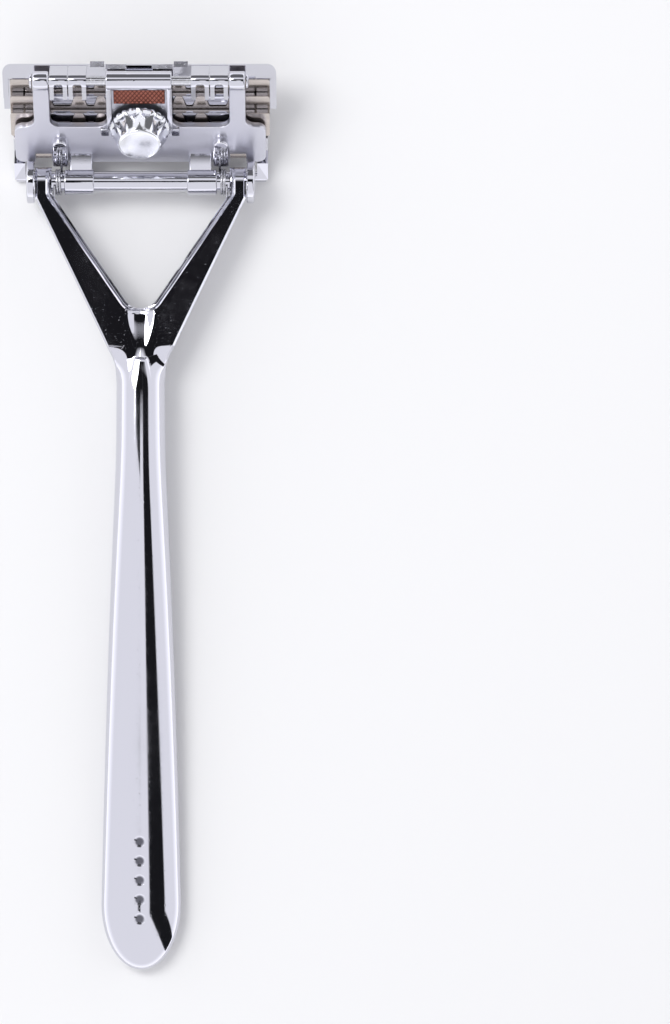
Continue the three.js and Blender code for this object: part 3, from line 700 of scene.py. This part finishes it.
def yoke_outline(hinge_y):
    half = PLATE["half_length"]
    corner, fillet, bottom, top = (PLATE[key] for key in ("corner", "fillet", "bottom", "top"))
    inner, outer, notch = (PLATE[key] for key in ("arm_inner", "arm_outer", "notch"))
    wall = HOUSING["half_width"]
    arm_top = hinge_y - 0.9
    outline = [(0, bottom), (inner, bottom), (inner, notch), (outer, notch), (outer, bottom)]
    outline += arc(half - corner, bottom + corner, corner, -90, 0, 8)
    outline += arc(half - corner, top - corner, corner, 0, 90, 8)
    outline += arc(outer + fillet, top + fillet, fillet, -90, -180, 8)
    outline += [(outer, arm_top), (inner, arm_top)]
    outline += arc(inner - fillet, top + fillet, fillet, 0, -90, 8)
    outline += arc(wall + fillet, top + fillet, fillet, -90, -180, 8)
    channel = wall - HOUSING["wall"]
    outline += [(wall, hinge_y - 0.6), (channel, hinge_y - 0.6), (channel, top), (0, top)]
    return mirrored(outline)


def make_yoke():
    """The flat plate with its arms, housing, hinge knuckles, barrels and lugs."""
    hinge = in_head(HINGE)
    wall = HOUSING["half_width"]
    bm = bmesh.new()
    bevelled_slab(bm, yoke_outline(hinge.y), PLATE["front"], PLATE["back"], 0.16)
    floor = [(x, PLATE["top"] - 1) for x in (-wall, wall)] + [(x, hinge.y - 0.6) for x in (wall, -wall)]
    bevelled_slab(bm, floor, PLATE["front"] + 0.02, HOUSING["floor"], 0.05)
    finish_mesh(bm, "yoke_flat", HEAD, satin_chrome, "yoke", ("yoke_plate",), 35, flat=True)
    bm = bmesh.new()
    web = [(-1.0, -1.0), (-0.5, PLATE["front"]), (3.0, PLATE["front"] + 0.1)]
    web += [(3.0, PLATE["back"] - 0.1), (1.6, -1.0)]
    turn_up = Matrix(((0, 0, 1, 0), (1, 0, 0, 0), (0, 1, 0, 0), (0, 0, 0, 1)))

    def side_parts(side):
        def across(points):
            return [(side * x, y) for x, y in points][::side]

        inner = wall - HOUSING["wall"]
        start = HOUSING["wall_start"]
        side_wall = [(wall, PLATE["top"] - 0.6), (wall, hinge.y - 0.4), (inner, hinge.y - 0.4)]
        side_wall += [(inner, start), (wall - 0.25, start - 1.8)]
        bevelled_slab(bm, across(side_wall), PLATE["front"] + 0.05, HOUSING["top"], 0.16)
        root, tip = wall - 0.3, wall + TOOTH["reach"]
        near, far = PLATE["top"] + TOOTH["start"], PLATE["top"] + TOOTH["end"]
        tooth = [(root, near), (tip, near), (tip, far), (root, far)]
        bevelled_slab(bm, across(tooth), PLATE["back"] - SUNK, PLATE["back"] + TOOTH["back"], 0.14)
        lug_half = (LUG["end"] - LUG["start"]) / 2
        lug = [(LUG["start"], LUG["bottom"]), (LUG["end"], LUG["bottom"])]
        lug += arc(LUG["start"] + lug_half, LUG["top"] - lug_half, lug_half, 0, 180, 14)
        bevelled_slab(bm, across(lug), PLATE["back"] - SUNK, LUG["back"], 0.3)
        ends = sorted((side * PLATE["arm_inner"], side * PLATE["arm_outer"]))
        bevelled_bar(bm, *ends, hinge.y, hinge.z, KNUCKLE_RADIUS, 0.3)
        ends = sorted((side * BARREL["start"], side * BARREL["end"]))
        bevelled_bar(bm, *ends, 0, 0, BARREL["radius"], 0.2)
        ends = sorted((side * (BARREL["start"] + 0.3), side * BARREL["web_end"]))
        bevelled_slab(bm, web, *ends, 0.2, turn_up)

    on_both_sides(side_parts)
    bevelled_bar(bm, -wall, wall, hinge.y, hinge.z, KNUCKLE_RADIUS, 0.2)
    finish_mesh(bm, "yoke_fittings", HEAD, chrome, "yoke", (), 35, flat=True)


def finish_head_castings():
    finished_copy("cap_frame", chrome, "blade_head", 0.14)
    for node in ("blade_shelf_1", "blade_shelf_2"):
        finished_copy(node, chrome, "blade_head", 0.1, 2)
    finished_copy("name_panel", copper, "yoke", 0.05, 2)


def make_pins():
    along_x = Matrix.Rotation(pi / 2, 4, "Y")
    low, high = head_box("hinge_pin")
    centre = (low + high) / 2
    place = Matrix.Translation((0, centre.y, centre.z)) @ along_x
    radius = (high.z - low.z) / 2
    bm = bmesh.new()
    turned(bm, [(radius, low.x), (radius, high.x)], place, 40)
    finish_mesh(bm, "hinge_pin_turned", HEAD, pin_steel, "yoke", ("hinge_pin",))
    for side, node in ((1, "hinge_pin_head_right"), (-1, "hinge_pin_head_left")):
        low, high = head_box(node)
        inner = low.x if side > 0 else high.x
        radius = (high.z - low.z) / 2
        depth = high.x - low.x
        profile = [(radius, 0)]
        profile += [
            (radius * cos(radians(step * 15)), depth * (0.35 + 0.65 * sin(radians(step * 15))))
            for step in range(6)
        ]
        bm = bmesh.new()
        turned(bm, [(r, inner + side * h) for r, h in profile], place, 40)
        finish_mesh(bm, node + "_turned", HEAD, chrome, "yoke", (node,))


# Heights are shares of the knob's own height, from its toothed rim to its flat end.
KNOB = {
    "proud": 0.03, "top_share": 0.703, "flutes": 12, "steps": 12, "flute_depth": 0.55, "flute_start": 0.12,
    "flute_full": 0.2, "flute_end": 0.93, "flute_fade": 0.7, "rim": 0.1, "rim_end": 0.14, "rim_round": 0.15,
    "tooth": 0.22, "end": 0.94, "end_round": 0.3,
    "heights": (0.0, 0.03, 0.1, 0.14, 0.2, 0.3, 0.45, 0.6, 0.75, 0.88, 0.93, 0.95, 0.97, 0.985, 1.0),
}


def make_knob():
    """A cone with scalloped flutes, a toothed rim at its base and a flat polished end."""
    low, high = head_box("knob")
    centre = (low + high) / 2
    base_radius = (high.y - low.y) / 2 + KNOB["proud"]
    top_radius = base_radius * KNOB["top_share"]
    flutes = KNOB["flutes"]
    sides = flutes * KNOB["steps"]
    rim = KNOB["rim"]
    end = KNOB["end"]

    def radius_at(share):
        if share < rim:
            return base_radius - KNOB["rim_round"] * (1 - share / rim) ** 2
        straight = base_radius + (top_radius - base_radius) * (share - rim) / (end - rim)
        return straight if share < end else straight - KNOB["end_round"] * ((share - end) / (1 - end)) ** 2

    rings = []
    for share in KNOB["heights"]:
        radius = radius_at(share)
        depth = KNOB["flute_depth"] * smooth_step(share, KNOB["flute_start"], KNOB["flute_full"])
        depth *= max(0, 1 - share / KNOB["flute_end"]) ** KNOB["flute_fade"]
        tooth = KNOB["tooth"] * (1 - smooth_step(share, rim, KNOB["rim_end"]))
        ring = []
        for i in range(sides):
            angle = 2 * pi * i / sides
            cut = depth * abs(sin(flutes * angle / 2)) + tooth * (i // 3 % 2)
            ring.append(Vector((
                centre.x + (radius - cut) * cos(angle),
                centre.y + (radius - cut) * sin(angle),
                low.z + share * (high.z - low.z),
            )))
        rings.append(ring)
    bm = bmesh.new()
    loft(bm, rings)
    finish_mesh(bm, "knob_fluted", HEAD, knob_chrome, "knob", ("knob",), 30, flat=True)


SCREW = {"pitch": 0.25, "depth": 0.14, "lead": 0.2}
COLLAR = {"bore": 1.3, "edge": 0.08}


def upright_piece(node):
    """The radius of a round node, its lowest and highest corner, and the place of its axis."""
    low, high = head_box(node)
    centre = (low + high) / 2
    return (high.x - low.x) / 2, low, high, Matrix.Translation((centre.x, centre.y, 0))


def make_screw_and_collar():
    radius, low, high, place = upright_piece("knob_screw")
    pitch = SCREW["pitch"]
    profile = [(radius - SCREW["lead"], low.z)]
    for i in range(int((high.z - low.z) / pitch)):
        profile.append((radius, low.z + (i + 0.5) * pitch))
        profile.append((radius - SCREW["depth"], low.z + (i + 1) * pitch))
    bm = bmesh.new()
    turned(bm, profile, place, 40)
    finish_mesh(bm, "screw_thread", HEAD, pin_steel, "knob", ("knob_screw",))

    radius, low, high, place = upright_piece("knob_collar")
    bore = COLLAR["bore"]
    edge = COLLAR["edge"]
    profile = [
        (bore, low.z), (radius - edge, low.z), (radius, low.z + edge),
        (radius, high.z - edge), (radius - edge, high.z), (bore, high.z), (bore, low.z),
    ]
    bm = bmesh.new()
    rings = [[place @ point for point in circle(r, height, 48)] for r, height in profile]
    loft(bm, rings, closed_ends=False)
    finish_mesh(bm, "thrust_collar", HEAD, pin_steel, "knob_seat", ("knob_collar",))


BLADE = {
    "length": 42.7, "body": 37.8, "width": 11.0, "tab": 5.5, "tab_corner": 0.3, "slot": 2.6,
    "slot_inset": 1.2, "ground": 0.5, "corner": 0.15, "dip": 2.5, "dip_side": 0.95, "dips_end": 15.1,
    "dips": ((3.4, 6.0), (6.8, 9.5), (10.6, 15.0)),
}


def spine_line():
    """The right-hand half of the snapped spine, from the centre slot to the end tab."""
    width = BLADE["width"]
    points = []
    for i in range(72):
        x = BLADE["slot"] + (BLADE["dips_end"] - BLADE["slot"]) * i / 71
        side = BLADE["dip_side"]
        dip = 0.0
        for start, end in BLADE["dips"]:
            rise = min(max((x - start) / side, 0), 1) * min(max((end - x) / side, 0), 1)
            dip = max(dip, BLADE["dip"] * smooth_step(rise, 0, 1))
        points.append((x, width - dip))
    return points


def make_blades():
    half_length = BLADE["length"] / 2
    half_body = BLADE["body"] / 2
    width = BLADE["width"]
    ground = BLADE["ground"]
    corner = BLADE["corner"]
    tab = width - BLADE["tab"]
    round_off = BLADE["tab_corner"]
    for number in (1, 2, 3):
        node = f"blade_{number}"
        low, high = head_box(node)
        half = [(0, ground), (half_body - corner, ground), (half_body, ground + 0.1), (half_body, tab)]
        half += [(half_length - round_off, tab), (half_length, tab + round_off)]
        half += [(half_length, width - round_off), (half_length - round_off, width)]
        half += list(reversed(spine_line()))
        half += [(BLADE["slot"], width - BLADE["slot_inset"])]
        half += arc(0, width - BLADE["slot_inset"], BLADE["slot"], 0, -90, 10)[1:]
        bm = bmesh.new()
        outline = [(x, low.y + y) for x, y in mirrored(half)]
        middle = (low.z + high.z) / 2
        slab(bm, outline, low.z, high.z)
        bevelled = [(-half_body + corner, low.y + ground), (half_body - corner, low.y + ground)]
        tops = [bm.verts.new((x, y + 0.004, high.z)) for x, y in bevelled]
        bottoms = [bm.verts.new((x, y + 0.004, low.z)) for x, y in bevelled]
        edges = [bm.verts.new((x, low.y, middle)) for x, _ in bevelled]
        bm.faces.new((tops[0], tops[1], edges[1], edges[0]))
        bm.faces.new((bottoms[1], bottoms[0], edges[0], edges[1]))
        bm.faces.new((tops[0], edges[0], bottoms[0]))
        bm.faces.new((tops[1], bottoms[1], edges[1]))
        bm.faces.new((tops[1], tops[0], bottoms[0], bottoms[1]))
        name = node + "_ground"
        finish_mesh(bm, name, HEAD, blade_steel, "blade_head", (node,), 20)


MAGNET_EDGE = 0.1


def make_magnets():
    for number in (1, 2):
        for side in ("right", "left"):
            node = f"blade_magnet_{number}_{side}"
            radius, low, high, place = upright_piece(node)
            profile = [(radius - MAGNET_EDGE, low.z), (radius, low.z + MAGNET_EDGE)]
            profile += [(radius, high.z - MAGNET_EDGE), (radius - MAGNET_EDGE, high.z)]
            bm = bmesh.new()
            turned(bm, profile, place, 40)
            name = node + "_pressed"
            finish_mesh(bm, name, HEAD, magnet_steel, "blade_head", (node,))


make_handle()
make_rod_and_caps()
make_springs()
make_yoke()
finish_head_castings()
make_pins()
make_knob()
make_screw_and_collar()
make_blades()
make_magnets()


# ---------------------------------------------------------------- table, light and camera

def make_table():
    bm = bmesh.new()
    bmesh.ops.create_grid(bm, x_segments=1, y_segments=1, size=1.5)
    mesh = bpy.data.meshes.new("table")
    bm.to_mesh(mesh)
    bm.free()
    table = bpy.data.objects.new("table", mesh)
    bpy.context.scene.collection.objects.link(table)
    material, tree, shader = new_material("white_table")
    shader.inputs["Base Color"].default_value = (0.82, 0.82, 0.815, 1)
    shader.inputs["Roughness"].default_value = 0.6
    shader.inputs["Specular IOR Level"].default_value = 0.2
    mesh.materials.append(material)


# The dark parts of the studio, in slopes from straight up: across to the right, along to the head.
# The right flag is a band whose two edges lean outwards from where it starts to lean.
RIGHT_FLAG = {
    "left": 0.15, "left_lean": 1.2, "left_blur": 0.015, "right": 0.62, "right_lean": 2.0, "right_blur": 0.03,
    "leans_from": -0.125,
}
# The left flag's left edge runs from a near point to a far one, and the slit cuts it on the right.
LEFT_FLAG = {"near": -0.12, "near_edge": -0.01, "far": -0.01, "far_edge": -0.36, "blur": 0.015}
SLIT = {"near": -0.005, "near_edge": -0.035, "far": 0.0, "far_edge": 0.16, "blur": 0.004}
FLAGS_END = (0.22, 0.32)
ROOF = {"start": 0.6, "full": 0.75, "dark": 0.85, "half_width": 0.7, "outside": 0.9}
# The height above the horizon where the dark starts, and the walls' brightness low down and higher up.
DARK_ABOVE = 0.14
WALLS = {"low": 0.12, "high": 0.5, "low_strength": 1.62, "high_strength": 1.08}


def make_world():
    """White studio walls, with the dark of the camera and the open roof above."""
    world = bpy.data.worlds.new("studio")
    bpy.context.scene.world = world
    world.use_nodes = True
    tree = world.node_tree
    tree.nodes.clear()
    output = tree.nodes.new("ShaderNodeOutputWorld")
    background = tree.nodes.new("ShaderNodeBackground")
    tree.links.new(background.outputs["Background"], output.inputs["Surface"])
    coordinates = tree.nodes.new("ShaderNodeTexCoord")
    split = tree.nodes.new("ShaderNodeSeparateXYZ")
    tree.links.new(coordinates.outputs["Generated"], split.inputs["Vector"])
    height = calc(tree, "MAXIMUM", split.outputs["Z"], 0.05)
    across = calc(tree, "DIVIDE", split.outputs["X"], height)
    along = calc(tree, "DIVIDE", split.outputs["Y"], height)

    def soft_edge(inside, blur):
        return spread(tree, inside, -blur, blur, 0.0, 1.0)

    def leaning(start, lean):
        return calc(tree, "MULTIPLY_ADD", fall, lean, start)

    fall = calc(tree, "MAXIMUM", calc(tree, "SUBTRACT", RIGHT_FLAG["leans_from"], along), 0)
    past_left = calc(tree, "SUBTRACT", across, leaning(RIGHT_FLAG["left"], RIGHT_FLAG["left_lean"]))
    before_right = calc(tree, "SUBTRACT", leaning(RIGHT_FLAG["right"], RIGHT_FLAG["right_lean"]), across)
    right_flag = calc(tree, "MULTIPLY", soft_edge(past_left, RIGHT_FLAG["left_blur"]),
                      soft_edge(before_right, RIGHT_FLAG["right_blur"]))
    left_edge, slit = (
        spread(tree, along, edge["near"], edge["far"], edge["near_edge"], edge["far_edge"])
        for edge in (LEFT_FLAG, SLIT)
    )
    left_flag = calc(tree, "MULTIPLY",
                     soft_edge(calc(tree, "SUBTRACT", across, left_edge), LEFT_FLAG["blur"]),
                     soft_edge(calc(tree, "SUBTRACT", slit, across), SLIT["blur"]))
    flags = calc(tree, "MULTIPLY", calc(tree, "MAXIMUM", right_flag, left_flag),
                 spread(tree, along, *FLAGS_END, 1.0, 0.0))
    aside = calc(tree, "ABSOLUTE", across)
    roof = calc(tree, "MULTIPLY", spread(tree, along, ROOF["start"], ROOF["full"], 0.0, ROOF["dark"]),
                spread(tree, aside, ROOF["half_width"], ROOF["outside"], 1.0, 0.0))
    above = calc(tree, "GREATER_THAN", split.outputs["Z"], DARK_ABOVE)
    dark = calc(tree, "MULTIPLY", calc(tree, "MAXIMUM", flags, roof), above)
    ramp = tree.nodes.new("ShaderNodeValToRGB")
    ramp.color_ramp.elements[0].color = (0.95, 0.95, 1.0, 1)
    ramp.color_ramp.elements[1].color = (0.012, 0.012, 0.014, 1)
    tree.links.new(dark, ramp.inputs["Fac"])
    tree.links.new(ramp.outputs["Color"], background.inputs["Color"])
    strength = spread(tree, split.outputs["Z"], WALLS["low"], WALLS["high"], WALLS["low_strength"],
                      WALLS["high_strength"])
    tree.links.new(strength, background.inputs["Strength"])


def add_area(name, place, target, size, power):
    light = bpy.data.lights.new(name, "AREA")
    light.shape = "RECTANGLE"
    light.size, light.size_y = size
    light.energy = power
    lamp = bpy.data.objects.new(name, light)
    bpy.context.scene.collection.objects.link(lamp)
    lamp.location = place
    lamp.rotation_euler = (Vector(target) - Vector(place)).to_track_quat("-Z", "Y").to_euler()
    return lamp


def make_lights():
    add_area("key_softbox", (-0.45, 0.35, 0.9), (0, 0, 0), (0.5, 0.5), 5)


def make_camera():
    camera = bpy.data.cameras.new("camera")
    camera.lens = 250
    camera.sensor_width = 36
    camera.clip_start = 0.01
    viewer = bpy.data.objects.new("camera", camera)
    bpy.context.scene.collection.objects.link(viewer)
    viewer.location = (0.0321, 0.0010, 1.1809)
    bpy.context.scene.camera = viewer


make_table()
make_world()
make_lights()
make_camera()
bpy.context.scene.view_settings.view_transform = "Standard"
